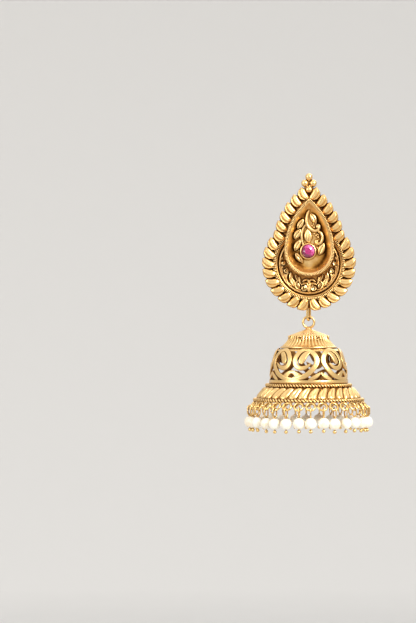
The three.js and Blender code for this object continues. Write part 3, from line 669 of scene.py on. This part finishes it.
# Across, up and thickness before it is scaled
vine_curls = [
    [(0, 0.98, 0.16), (-0.1, 0.9, 0.24), (-0.16, 0.76, 0.31), (-0.1, 0.62, 0.32),
     (0.1, 0.53, 0.33), (0.34, 0.49, 0.32), (0.54, 0.52, 0.29), (0.62, 0.585, 0.25),
     (0.56, 0.63, 0.22), (0.47, 0.61, 0.2)],
    [(0.54, 0.49, 0.2), (0.7, 0.44, 0.28), (0.8, 0.36, 0.31), (0.79, 0.27, 0.31), (0.68, 0.2, 0.3),
     (0.52, 0.18, 0.28), (0.4, 0.215, 0.24), (0.42, 0.265, 0.2)],
    [(-0.14, 0.66, 0.12), (-0.28, 0.6, 0.2), (-0.4, 0.5, 0.24), (-0.45, 0.38, 0.25),
     (-0.43, 0.26, 0.24), (-0.37, 0.16, 0.22)],
]
CURL_SCALE = 1.3
for curl in vine_curls:
    rows = smooth(curl, 8)
    wire(cup, [on_floor(across, up, CUP_FLOOR - 0.2) for across, up, _ in rows],
         [thick * CURL_SCALE for _, _, thick in rows], FACE, sides=12, squash=1.3)
# Across, up and size in mm
vine_grains = [
    (0.5, 0.59, 0.42), (0.46, 0.24, 0.44), (0.3, 0.58, 0.2), (0.18, 0.61, 0.2), (0.26, 0.65, 0.2),
    (0.12, 0.68, 0.2), (0.4, 0.66, 0.18), (0.06, 0.6, 0.18), (0.42, 0.38, 0.27), (0.54, 0.34, 0.27),
    (0.3, 0.42, 0.2), (0.52, 0.41, 0.18), (0.3, 0.12, 0.22), (0.5, 0.08, 0.26), (-0.12, 0.93, 0.2),
    (-0.62, 0.02, 0.18), (-0.8, 0.3, 0.16)]
for across, up, size in vine_grains:
    ball(cup, on_floor(across, up, CUP_FLOOR - size * 0.5), size, around=12, rows=8)
print("vine:", len(vine_leaves), "leaves,", len(vine_curls), "stems")

# %% [markdown]
# The stone sits in a collet: a short tube whose lip is pushed over the stone's edge. The tube is
# turned from a closed profile and stands a little left of the middle, as it does on the earring.

# %% Collet
STONE_X, GIRDLE = -0.27, -2.7075
# Radius and depth
collet_profile = [
    (2.04, -1.35), (2.06, -1.7), (1.98, -2.6), (1.96, -2.78), (1.86, -2.9), (1.74, -2.92),
    (1.67, -2.84), (1.66, -2.7), (1.66, -2.3), (1.5, -1.9), (1.2, -1.75), (1.2, -1.35)]


def stone_ring(radius, depth, count, start=0.0):
    return circle(Vector((STONE_X, depth, CUP_CENTRE_Z)), ACROSS, UP, radius, count, start)


cup.skin(list(zip(*(stone_ring(radius, depth, 60) for radius, depth in collet_profile))),
         closed=True)
cast("teardrop_cup_with_vine", cup, "stud", shaded_cup_gold, ["teardrop_cup"])

# %% [markdown]
# The stone is a round brilliant. Its facets are flat, so the mesh is shaded flat: a table, a ring
# of star facets, main and girdle facets, and a pointed back.

# %% Stone
gem = Wax()
points = (stone_ring(0.84, GIRDLE - 0.53, 8, 0.5) + stone_ring(1.2, GIRDLE - 0.34, 8)
          + stone_ring(1.55, GIRDLE - 0.03, 16) + stone_ring(1.55, GIRDLE + 0.03, 16)
          + stone_ring(0.75, GIRDLE + 0.34, 8) + [Vector((STONE_X, GIRDLE + 0.62, CUP_CENTRE_Z))])
faces = [tuple(range(8))]
for i in range(8):
    j = (i + 1) % 8
    star, next_star, back, next_back, tip = 8 + i, 8 + j, 48 + i, 48 + j, 56
    # Corners of the girdle's front ring. Its back ring is 16 further on
    a, b, c = 16 + 2 * i, 17 + 2 * i, 16 + (2 * i + 2) % 16
    faces += [(i, (i - 1) % 8, star), (star, i, b), (star, b, a), (i, next_star, b),
              (next_star, c, b), (a, b, b + 16, a + 16), (b, c, c + 16, b + 16),
              (a + 16, b + 16, back), (b + 16, next_back, back), (b + 16, c + 16, next_back),
              (back, next_back, tip)]
gem.add(points, faces)
stone = cast("ruby_glass_stone", gem, "stud", ruby, ["ruby_stone"], crease=5)
stone.data.shade_flat()

# %% [markdown]
# The ear post is a plain drawn pin, soldered to a round pad on the back of the stud. It can't be
# seen from the front, so it stays simple: a pad with a soft edge and a rounded end.

# %% Ear post
post = Wax()
# Radius and depth
post_profile = [
    (0.35, 0.12), (1.9, 0.12), (1.97, 0.2), (1.98, 0.38), (1.85, 0.5), (1, 0.56), (0.6, 0.66),
    (0.46, 0.9), (0.445, 1.3), (0.445, 8.9), (0.37, 9.1), (0.37, 9.3), (0.445, 9.5), (0.44, 10),
    (0.36, 10.28), (0.2, 10.43), (0.06, 10.49)]
post.skin([circle(FACE * depth, ACROSS, UP, radius, 28) for radius, depth in post_profile])
cast("ear_post_with_pad", post, "stud", wire_gold, ["ear_post"])

# %% [markdown]
# Rings are hard to polish on their inside, so the wash stays there. That dark inner line is what
# makes a ring readable against pale paper, and this helper gives it to every ring.

# %% Wash inside a ring
def wash_inside(i, turn):
    """Dark where the section faces the middle of the ring."""
    return 0.7 * max(0.0, -cos(turn)) ** 1.5

# %% [markdown]
# One oval link of round wire joins the bell's ring to the eye behind the stud. It swings on both,
# so it is its own piece on its own body.

# %% Link
LINK_Z, LINK_HALF, LINK_STRAIGHT, LINK_TURN = -18.59, 0.82, 1.18, radians(24)
link = Wax()
link_side = Vector((sin(LINK_TURN), cos(LINK_TURN), 0))
oval = []
for k in range(40):
    a = tau * k / 40
    straight = LINK_STRAIGHT if sin(a) > 0 else -LINK_STRAIGHT if sin(a) < 0 else 0
    oval.append(Vector((0, BELL_AXIS_Y, LINK_Z)) + link_side * LINK_HALF * cos(a)
                + UP * (LINK_HALF * sin(a) + straight))
wire(link, oval, 0.3, Vector((cos(LINK_TURN), -sin(LINK_TURN), 0)), sides=12, closed=True,
     stain=wash_inside)
cast("wire_link", link, "link", wire_gold, ["link"])

# %% [markdown]
# The top of the bell is a shallow cone, a step, and a hollow flare with forty fine ribs. The rib is
# a wave on the lathe's radius that fades in below the step. Eight small flowers, each of seven
# grains, sit round the top of the flare.

# %% Cap of the bell
CAP_RIBS = 40
# Radius, z and depth of the ribs as a share
cap_profile = [
    (0.3, -22.64, 0), (0.85, -22.8, 0), (1.3, -23.05, 0), (2, -23.33, 0.4), (3.4, -23.86, 0.9),
    (4.4, -24.22, 1), (4.74, -24.34, 0.7), (4.86, -24.46, 0.7), (4.9, -24.65, 1), (4.98, -25, 1.1),
    (5.18, -25.5, 1.2), (5.55, -26, 1.2), (6.02, -26.5, 1.1), (6.5, -26.95, 0.8), (6.68, -27.08, 0),
    (6.92, -27.14, 0), (6.98, -27.34, 0), (6.9, -27.5, 0), (6.6, -27.53, 0), (5.7, -27.5, 0),
    (4.9, -26.4, 0), (4.2, -25.3, 0), (3.4, -24.9, 0), (0.3, -24.1, 0)]
CAP_DARK = [0.1, 0.2, 0.2, 0.14, 0.04, 0, 0, 0, 0.1, 0.05, 0, 0, 0, 0.12, 0.3, 0, 0,
            0.2, 0.5] + [0.65] * 5
FLOWER_Z = -25.0


def rib_groove(angle):
    """0 on a rib's back and 1 in the groove beside it."""
    return 0.5 - 0.5 * cos(radians(angle * CAP_RIBS))


def cap_ribs(angle, i):
    return -0.3 * cap_profile[i][2] * rib_groove(angle) ** 1.5


def cap_wash(angle, i):
    return CAP_DARK[i] + 0.3 * min(1, cap_profile[i][2]) * rib_groove(angle) ** 2


cap = Wax()
turned(cap, [(r, z) for r, z, _ in cap_profile], CAP_RIBS * 8, ribs=cap_ribs, stain=cap_wash)
for z in (-22.64, -24.1):
    turned(cap, [(0.3, z), (0.01, z + 0.005), (0.01, z - 0.05)], 12)
wire(cap, circle(Vector((0, BELL_AXIS_Y, -21.12)), ACROSS, UP, 1.36, 36), 0.3, -FACE, sides=12,
     closed=True, stain=wash_inside)
ball(cap, Vector((0, BELL_AXIS_Y, -22.72)), 0.62, axis=UP, stretch=0.5, around=20, rows=10)
for heading in (-27, 26, 72, 117, 162, -153, -108, -72):
    for k in range(6):
        a = tau * k / 6
        petal = on_bell(4.98 + 0.05 * sin(a), heading + 5.2 * cos(a), FLOWER_Z + 0.46 * sin(a))
        ball(cap, petal, 0.21, around=9, rows=7)
    ball(cap, on_bell(5.02, heading, FLOWER_Z), 0.17, tarnish_and_shade=0.3, around=9, rows=7)
cast("ribbed_cap_with_ring", cap, "bell", gold_plate, ["bell_cap"])

# %% [markdown]
# The wall of the bell is pierced scrollwork: flat strips, about 1.2 mm wide, between two rails.
# Four repeats go round. In each, two scrolls mirror each other with a comma inside, and an arch and
# a leaf stand at their feet. A strip follows the bell's curve, so a row of places on the wall gives
# its path, and its section keeps its face outward. The rows say: turn as a share of half a repeat,
# rise as a share of the wall, and width as a share of the strip's.

# %% Pierced band
BAND_BOTTOM, BAND_HEIGHT, BAND_TURN, REPEATS = -35.43, 7.8, -28.5, 4
WALL, STRIP = 0.65, 1.22
# Places round a strip's section, as shares of its half-width and of half the wall
strip_section = [
    (-1, 0.1), (-0.93, 0.75), (-0.72, 1), (-0.3, 0.93), (0.3, 0.93), (0.72, 1), (0.93, 0.75),
    (1, 0.1), (0.6, -1), (-0.6, -1)]
STRIP_WASH = [0.65, 0.34, 0.06, 0, 0, 0.06, 0.34, 0.65, 0.6, 0.6]
band_motifs = {
    "scroll": [(-0.02, 0.04, 0.9), (0.2, 0.075, 0.95), (0.38, 0.13, 1), (0.56, 0.22, 1.02),
               (0.72, 0.36, 1.05), (0.85, 0.52, 1.08), (0.88, 0.68, 1.1), (0.8, 0.83, 1.05),
               (0.63, 0.93, 1), (0.43, 0.955, 1), (0.25, 0.89, 1), (0.14, 0.76, 1), (0.1, 0.62, 1),
               (0.16, 0.48, 1), (0.3, 0.405, 0.95), (0.46, 0.42, 0.8), (0.6, 0.5, 0.55),
               (0.66, 0.56, 0.25)],
    "comma": [(0.66, 0.92, 0.7), (0.55, 0.87, 1), (0.45, 0.8, 1.25), (0.38, 0.71, 1.4),
              (0.34, 0.63, 1.35), (0.33, 0.57, 1), (0.325, 0.54, 0.5)],
    "arch": [(-0.06, 0.29, 0.6), (0.04, 0.285, 0.65), (0.12, 0.245, 0.9), (0.2, 0.18, 1.2),
             (0.28, 0.1, 1.2), (0.34, 0.05, 1)],
    "leaf": [(0.58, 0.02, 0.4), (0.7, 0.08, 0.8), (0.82, 0.14, 0.85), (0.91, 0.2, 0.7),
             (0.98, 0.27, 0.35)],
}


def band_radius(rise):
    return 7 + 2.6 * sqrt(max(0, 1 - min(max(rise, 0), 1) ** 2.2))


def strip(wax, rows, start, hand, sunk):
    """Lays a strip along rows of places. sunk sets its face back behind the scrolls', in mm."""
    def spot(turn, rise):
        return on_bell(band_radius(rise) - WALL / 2 - sunk, start + hand * turn * 180 / REPEATS,
                       BAND_BOTTOM + rise * BAND_HEIGHT)
    rings = []
    for i, (turn, rise, width) in enumerate(rows):
        before, after = rows[max(i - 1, 0)], rows[min(i + 1, len(rows) - 1)]
        along = (spot(*after[:2]) - spot(*before[:2])).normalized()
        here = spot(turn, rise)
        out = (here - Vector((0, BELL_AXIS_Y, here.z))).normalized()
        out.z = (band_radius(rise - 0.03) - band_radius(rise + 0.03)) / (0.06 * BAND_HEIGHT)
        out.normalize()
        side = along.cross(out).normalized()
        rings.append([here + side * s * STRIP * width / 2 + out * o * WALL / 2
                      for s, o in strip_section])
    wax.skin(rings, tarnish_and_shade=STRIP_WASH * len(rings), ends=0.0)


def rail(wax, low, high, out, dark):
    """A rounded rail between two heights, which stands out from the wall by a little."""
    rows = []
    for k in range(5):
        z = high + (low - high) * k / 4
        swell = 0.06 * sin(pi * k / 4)
        rows.append((band_radius((z - BAND_BOTTOM) / BAND_HEIGHT) + out + swell - 0.04, z))
    inner = WALL + out
    rows += [(rows[-1][0] - inner, low + 0.03), (rows[0][0] - inner * 0.9, high - 0.03)]
    # Darker at the edges and on the inside; on the upper rail the edges are partly painted shade
    wash = [dark, dark / 2, 0.0, dark / 2, dark, 0.62, 0.62]
    turned(wax, rows, 120, stain=lambda angle, i: wash[i])


band = Wax()
# The upper rail's edges are darker than the lower rail's: wash, and painted shade under the cap's
# rim
rail(band, -28.18, -27.63, -0.12, 0.5)
rail(band, -36.03, -35.2, 0.08, 0.25)
for k in range(REPEATS):
    for hand in (1, -1):
        for motif, rows in band_motifs.items():
            strip(band, smooth(rows, 4), BAND_TURN + 360 / REPEATS * k, hand,
                  sunk=0.0 if motif == "scroll" else 0.09)
cast("pierced_band", band, "bell", gold_plate, ["bell_band"])

# %% [markdown]
# The skirt flares from the wall to the fringe: two twisted wires with thirty-two slanting leaves
# between them. The leaves are a height map wrapped round a cone. Each has a ridge and a hollow, and
# the grooves between them hold the wash.

# %% Leaf skirt
LEAVES, LEAF_STEP = 32, 360 / 32
LEAF_HALF, LEAF_HEIGHT, LEAF_ROWS = 0.485, 0.5, 22
AROUND = LEAVES * 24


def leaf_lift(angle, share):
    """How far a leaf stands out at an angle from the skirt's front and a share of its height."""
    lean = LEAF_STEP * 0.72 * (share - 0.5) - LEAF_STEP * 0.14 * sin(pi * share)
    u = ((angle - lean) / LEAF_STEP) % 1 - 0.5
    half = LEAF_HALF * max(0.0, 1 - abs(2 * share - 1) ** 3.2) ** 0.5
    if half < 0.02 or abs(u) > half:
        return 0.0
    s = u / half
    dome = (1 - abs(s) ** 2.6) ** 0.8
    hollow = 0.5 * exp(-((s - 0.15) / 0.2) ** 2) * sin(pi * share)
    return dome * (1 - hollow) * half / LEAF_HALF


skirt = Wax()
skirt_rings, skirt_dark = [], []
for j in range(AROUND):
    angle = 360 * j / AROUND
    # The face of the upper edge, the leaves, then the lower edge and the inside
    rows = [(9.0, -36.15, 0.7), (10.1, -36.15, 0.3), (10.1, -36.6, 0.6)]
    for i in range(LEAF_ROWS + 1):
        share = 1 - i / LEAF_ROWS
        lift = LEAF_HEIGHT * leaf_lift(angle, share)
        rows.append((12.72 - 2.2 * share + lift * 0.76, -39.78 + 2.72 * share + lift * 0.65,
                     0.58 * max(0, 1 - lift / 0.24)))
    rows += [(13.1, -40.1, 0.5), (13.1, -40.5, 0.3), (12.7, -40.5, 0.5), (11.0, -38.9, 0.75),
             (9.0, -37.0, 0.75)]
    skirt_rings.append([on_bell(radius, angle, z) for radius, z, _ in rows])
    skirt_dark += [dark for _, _, dark in rows]
skirt.skin(skirt_rings, closed=True, tarnish_and_shade=skirt_dark)
print("skirt:", LEAVES, "leaves")

# %% [markdown]
# Two strands of wire twisted together make the rope edges. Seen at one place the section has two
# lobes, and the lobes turn as the rope runs on. The real ropes show about 85 and 98 bumps.

# %% Twisted ropes
def rope(wax, radius, z, thick, bumps, per_bump=9):
    count = bumps * per_bump
    path = [on_bell(radius, 360 * k / count, z) for k in range(count)]

    def strand(i, turn):
        """1 on the back of a strand and 0 between the two strands."""
        return abs(cos(turn + pi * i / per_bump))
    wire(wax, path, thick, UP, sides=16, closed=True,
         lobes=lambda i, turn: 0.5 + 0.5 * strand(i, turn) ** 0.8,
         stain=lambda i, turn: 0.95 * (1 - strand(i, turn)))
    print("rope:", bumps, "bumps")


rope(skirt, 10.25, -36.56, 0.46, 85)
rope(skirt, 13.25, -40.13, 0.46, 98)

# %% [markdown]
# Under the lower rope hang thirty rings, soldered on edge to edge and leaning outward. No two were
# bent quite alike, so each is turned by a few degrees, always the same few, from a seeded dice.

# %% Fringe rings
fringe = Wax()
FRINGE_RADIUS, FRINGE_Z, FRINGE_LEAN = 13.96, -41.49, radians(36)
RING_RADIUS, RING_WIRE = 1.04, 0.28
for k in range(DROPS):
    angle = 360 * k / DROPS
    outward, tangent = bell_directions(angle)
    down = outward * sin(FRINGE_LEAN) - UP * cos(FRINGE_LEAN)
    twist = radians(chance.uniform(-7, 7))
    wide = tangent * cos(twist) + tangent.cross(down) * sin(twist)
    wire(fringe, circle(on_bell(FRINGE_RADIUS, angle, FRINGE_Z), wide, down, RING_RADIUS, 28),
         RING_WIRE, wide.cross(down), sides=10, closed=True, stain=wash_inside)
cast("fringe_rings", fringe, "bell", wire_gold, ["bell_skirt"])
cast("leaf_skirt_with_ropes", skirt, "bell", gold_plate, ["bell_skirt"])

# %% [markdown]
# Each pearl hangs on a head pin: a wire with a ball at its foot goes up through the pearl, wraps
# round itself, and opens into a tall eye through the fringe ring. The pearls differ a little in
# size and in the way they hang, as hand-strung ones do.

# %% Head pins and pearls
EYE_Z, EYE_HALF, PEARL_Z, PEARL_RADIUS, BALL_Z = -42.92, 0.6, -45.66, 1.45, -47.6
DROP_RADIUS = 14.6
for k in range(DROPS):
    angle = 360 * k / DROPS
    outward, tangent = bell_directions(angle)
    twist = radians(chance.uniform(-16, 16))
    wide = outward * cos(twist) + tangent * sin(twist)
    grow = chance.uniform(0.97, 1.0)
    sway = chance.uniform(-1, 1)
    centre = on_bell(DROP_RADIUS - 0.28 * abs(sway), angle + 0.75 * sway,
                     chance.uniform(-0.05, 0.22))
    pin = Wax()
    oval = []
    for n in range(28):
        across, up = cos(tau * n / 28), sin(tau * n / 28)
        straight = EYE_HALF if up > 0.01 else -EYE_HALF if up < -0.01 else 0
        pinch = 1.0 if up > -0.3 else 0.8
        oval.append(centre + wide * EYE_HALF * across * pinch
                    + UP * (EYE_Z + EYE_HALF * up + straight))
    wire(pin, oval, 0.168, wide.cross(UP), closed=True, stain=wash_inside)
    coil = []
    for n in range(28):
        t = tau * n / 9
        coil.append(centre + (outward * cos(t) + tangent * sin(t)) * 0.27
                    + UP * (EYE_Z - 1.6 + 0.3 * n / 27))
    wire(pin, coil, 0.11, UP, sides=6)
    shank = [centre + UP * z for z in (EYE_Z - 1.1, EYE_Z - 1.5, BALL_Z + 0.7, BALL_Z + 0.4)]
    wire(pin, shank, 0.16, outward)
    ball(pin, centre + UP * (BALL_Z + 0.03), 0.44 + 0.03 * (grow > 0.985), axis=UP, around=14,
         rows=10)
    number = f"{k + 1:02d}"
    cast(f"head_pin_{number}", pin, "bell", wire_gold, [f"pearl_drop_{number}"])
    pearl = Wax()
    rings = []
    for n in range(1, 20):
        tip = pi * n / 20
        dimple = 0.12 * exp(-(sin(tip) / 0.2) ** 2)
        rise = cos(tip) * (PEARL_RADIUS * grow - dimple)
        rings.append(circle(centre + UP * (PEARL_Z + rise), outward, tangent,
                            PEARL_RADIUS * grow * sin(tip), 28))
    pearl.skin(rings)
    cast(f"pearl_{number}", pearl, "bell", pearl_essence, [f"pearl_drop_{number}"],
         crease=80)

# %% [markdown]
# The set is a pale seamless bowl, wide enough that its wall never shows as an edge. It stands for
# the studio's floor and backdrop at once, so the earring looks the same from every side. Lamps
# shine down on a floor more than on a wall, so the floor is painted greyer than the wall above it:
# painted shade that keeps the lit floor from looking brighter than the backdrop.

# %% Studio floor
BOWL_SIDES, BOWL_FLOOR = 64, -0.25


def studio_paper():
    finish, place = start_finish("pale_studio_paper")
    # Paper fibre is far finer than the view shows, so it is drawn 20 mm wide and faint
    fibre = noise(finish, place, 20)
    spot = add_node(finish, "SeparateXYZ", {"Vector": place})
    # Painted shade: the floor is grey, and the paper turns pale over the first 50 mm up the bowl
    rise = add_node(finish, "MapRange", {"Value": spot.outputs["Z"], "From Min": BOWL_FLOOR,
                                         "From Max": BOWL_FLOOR + 0.05})
    fibre_and_painted_floor_shade = add_node(finish, "Math", {0: fibre, 1: 0.08, 2: rise}, operation="MULTIPLY_ADD")
    tint = add_node(finish, "ValToRGB", {"Fac": fibre_and_painted_floor_shade}, stops=[(0.0, "#C0BFBD"), (1.0, "#E4E2DF")])
    paper = add_node(finish, "BsdfPrincipled",
                     {"Base Color": tint, "Roughness": 0.9, "Specular IOR Level": 0.2})
    add_node(finish, "OutputMaterial", {"Surface": paper})
    return finish


# Radius and z in metres
bowl_profile = [
    (0.7, BOWL_FLOOR), (1.0, -0.24), (1.3, -0.19), (1.55, -0.08), (1.75, 0.1), (1.87, 0.35),
    (1.93, 0.65), (1.95, 1.0)]
bowl_rows = smooth(bowl_profile, 5)
points = [UP * BOWL_FLOOR] + [
    point for r, z in bowl_rows for point in circle(UP * z, FACE, ACROSS, r, BOWL_SIDES)]
faces = [(0, 1 + (k + 1) % BOWL_SIDES, 1 + k) for k in range(BOWL_SIDES)]
for i in range(len(bowl_rows) - 1):
    here, there = 1 + i * BOWL_SIDES, 1 + (i + 1) * BOWL_SIDES
    faces += [(here + k, here + (k + 1) % BOWL_SIDES, there + (k + 1) % BOWL_SIDES, there + k)
              for k in range(BOWL_SIDES)]
mesh = bpy.data.meshes.new("studio_bowl")
mesh.from_pydata(points, [], faces)
mesh.shade_smooth()
mesh.materials.append(studio_paper())
bowl = add_object("studio_bowl", mesh)
print("studio bowl:", len(faces), "faces")

# %% [markdown]
# Gold only looks like gold when it has something to mirror. Broad soft lamps give the pale yellow
# sheets of light, and the gaps between them give the deeper tones. Grids on the lamps narrow their
# beams, so that they light the earring and not the floor. The sky fills the rest evenly.

# %% Lights and sky
def lamp(name, place, size, watts, tint="#FFFFFF"):
    light = bpy.data.lights.new(name, "AREA")
    light.spread = radians(90)
    light.shape, light.size, light.energy, light.color = "DISK", size, watts, colour(tint)[:3]
    holder = add_object(name, light)
    holder.location = place
    aim = Vector((0, 0, -0.02)) - Vector(place)
    holder.rotation_euler = aim.to_track_quat("-Z", "Y").to_euler()
    print(f"{name}: {watts} W, {size} m wide")


lamp("key_lamp", (0.62, -0.64, 0.42), 0.45, 2.8, "#FFFDF9")
lamp("fill_lamp", (-0.8, -0.7, 0.25), 0.6, 1.2)
lamp("top_lamp", (0.0, 0.1, 0.95), 0.8, 0.45)
lamp("back_lamp", (0.3, 0.9, 0.5), 0.7, 0.6)
sky = bpy.data.worlds.new("studio_sky")
bpy.context.scene.world = sky
sky.use_nodes = True
glow = sky.node_tree.nodes["Background"].inputs
glow["Color"].default_value, glow["Strength"].default_value = colour("#F4F4F4"), 1.13

# %% [markdown]
# The camera is level and far away with a long lens, as in a catalogue photograph, which keeps the
# bell's ellipses flat. The earring sits right of the middle of the frame.

# %% Camera
lens = bpy.data.cameras.new("catalogue_camera")
lens.sensor_width, lens.lens = 36.0, 173.4
lens.clip_start, lens.clip_end = 0.01, 10.0
camera = add_object("catalogue_camera", lens)
camera.location = (-0.0247, -0.735, -0.0185)
camera.rotation_euler = (pi / 2, 0, 0)
bpy.context.scene.camera = camera
bpy.context.scene.view_settings.view_transform = "Standard"
print("camera: 735 mm from the earring, lens 173 mm")
